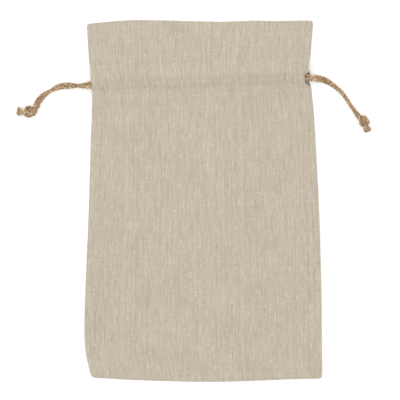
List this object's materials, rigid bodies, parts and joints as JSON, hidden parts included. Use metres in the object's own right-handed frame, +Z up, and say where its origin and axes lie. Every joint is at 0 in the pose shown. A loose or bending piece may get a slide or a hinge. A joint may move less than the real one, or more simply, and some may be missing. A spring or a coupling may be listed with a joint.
{
  "type": "linen drawstring bread bag",
  "caption": "Flat cloth bag whose heading is turned in over a stitched channel, with doubled drawcords that come out at both sides, are twisted together and end in knots.",
  "frame": {"origin": "on the surface the bag lies on, under the middle of the cloth's bounding box, without the free cords and knots", "axes": "+X to the right across the bag, +Y from the foot to the mouth, +Z up out of the surface, through the front panel"},
  "size_m": [0.4424, 0.4515, 0.0112],
  "materials": {
    "linen": "matte plain weave with slubs",
    "jute": "matte twisted fibre"
  },
  "bodies": {
    "root": {"front_panel": "linen", "back_panel": "linen", "left_cord_in_channel": "jute", "right_cord_in_channel": "jute", "left_strand_front": "jute", "left_strand_back": "jute", "right_strand_front": "jute", "right_strand_back": "jute", "left_knot": "jute", "right_knot": "jute"}
  },
  "joints": []
}
